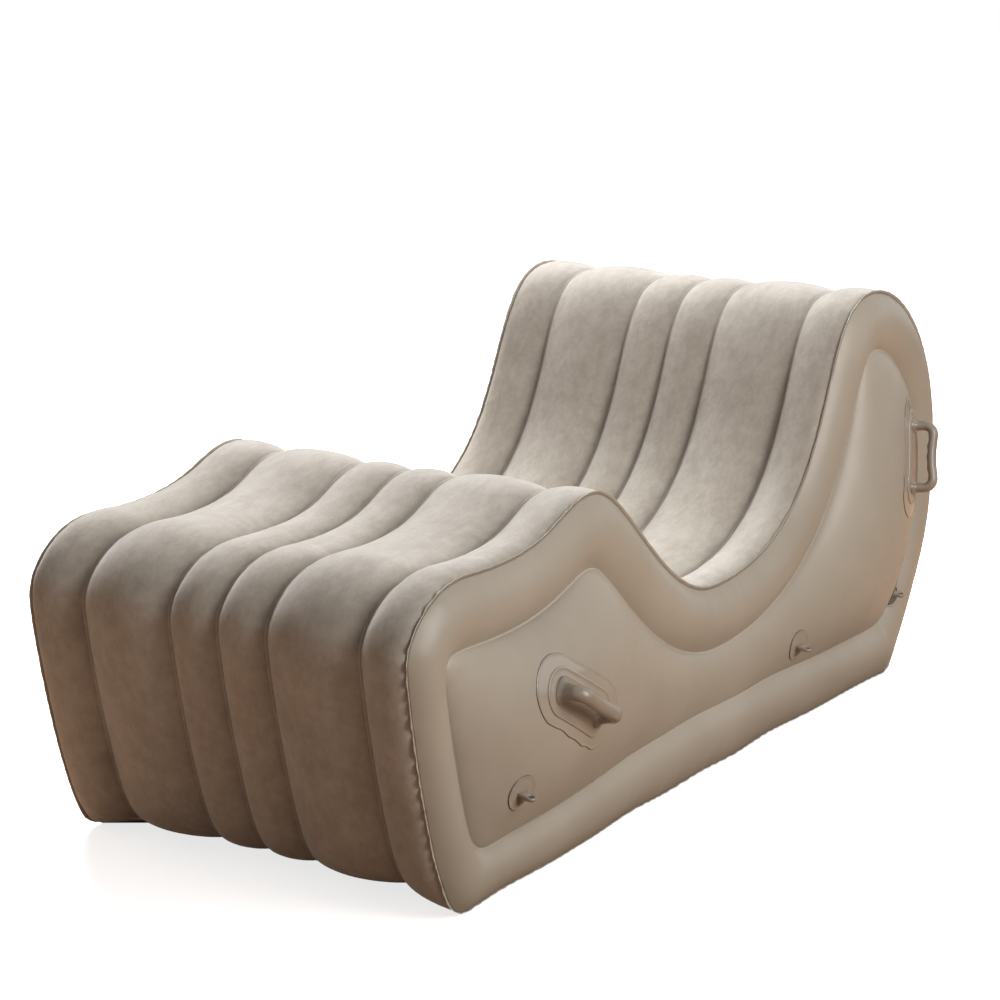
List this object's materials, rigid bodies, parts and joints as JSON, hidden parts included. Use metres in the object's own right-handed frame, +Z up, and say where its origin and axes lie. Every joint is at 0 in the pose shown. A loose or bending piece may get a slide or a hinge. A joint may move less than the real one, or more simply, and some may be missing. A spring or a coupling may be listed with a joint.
{
  "type": "inflatable wave lounger",
  "caption": "Wave-shaped inflatable lounger with a flocked channelled top, domed smooth sides, side handles, tie loops and a capped air valve.",
  "frame": {"origin": "on the floor under the middle of the lounger's overall box", "axes": "+Y runs from the foot end to the back end, +Z is up, +X is the side of the smooth panel without a valve"},
  "size_m": [0.9154, 1.7582, 0.744],
  "materials": {
    "flocked_top": "matte flocked",
    "side_sheet": "satin",
    "inner_sheet": "matte",
    "clear_patch": "gloss",
    "moulded_fittings": "gloss",
    "valve_plastic": "satin",
    "valve_rubber": "matte"
  },
  "bodies": {
    "lounger": {"bottom_sheet": "side_sheet", "edge_tube_wall_left": "inner_sheet", "edge_tube_wall_right": "inner_sheet", "handle_front_left": "moulded_fittings", "handle_front_right": "moulded_fittings", "handle_patch_front_left": "clear_patch", "handle_patch_front_right": "clear_patch", "handle_patch_rear_left": "clear_patch", "handle_patch_rear_right": "clear_patch", "handle_rear_left": "moulded_fittings", "handle_rear_right": "moulded_fittings", "side_panel_left": "side_sheet", "side_panel_right": "side_sheet", "tie_loop_front_left": "moulded_fittings", "tie_loop_front_right": "moulded_fittings", "tie_loop_middle_left": "moulded_fittings", "tie_loop_middle_right": "moulded_fittings", "tie_loop_rear_left": "moulded_fittings", "tie_loop_rear_right": "moulded_fittings", "top_edge_lane_left": "flocked_top", "top_edge_lane_right": "flocked_top", "top_narrow_lane_left": "flocked_top", "top_narrow_lane_right": "flocked_top", "top_wide_lane_left": "flocked_top", "top_wide_lane_right": "flocked_top", "valve_base": "valve_plastic", "valve_insert": "valve_plastic", "valve_seal": "valve_rubber", "web_left": "inner_sheet", "web_middle": "inner_sheet", "web_right": "inner_sheet"},
    "cap": {"valve_cap": "valve_plastic"},
    "flap": {"valve_flap": "valve_rubber"}
  },
  "joints": [
    {"name": "cap_hinge", "type": "hinge", "parent": "lounger", "child": "cap", "pos_m": [-0.41931, 0.49566, 0.23529], "axis": [0, 0, 1], "range_deg": [0, 120]},
    {"name": "flap_slide", "type": "slide", "parent": "lounger", "child": "flap", "axis": [1, 0, 0], "range_m": [0, 0.003], "stiffness_N_per_m": 60}
  ]
}
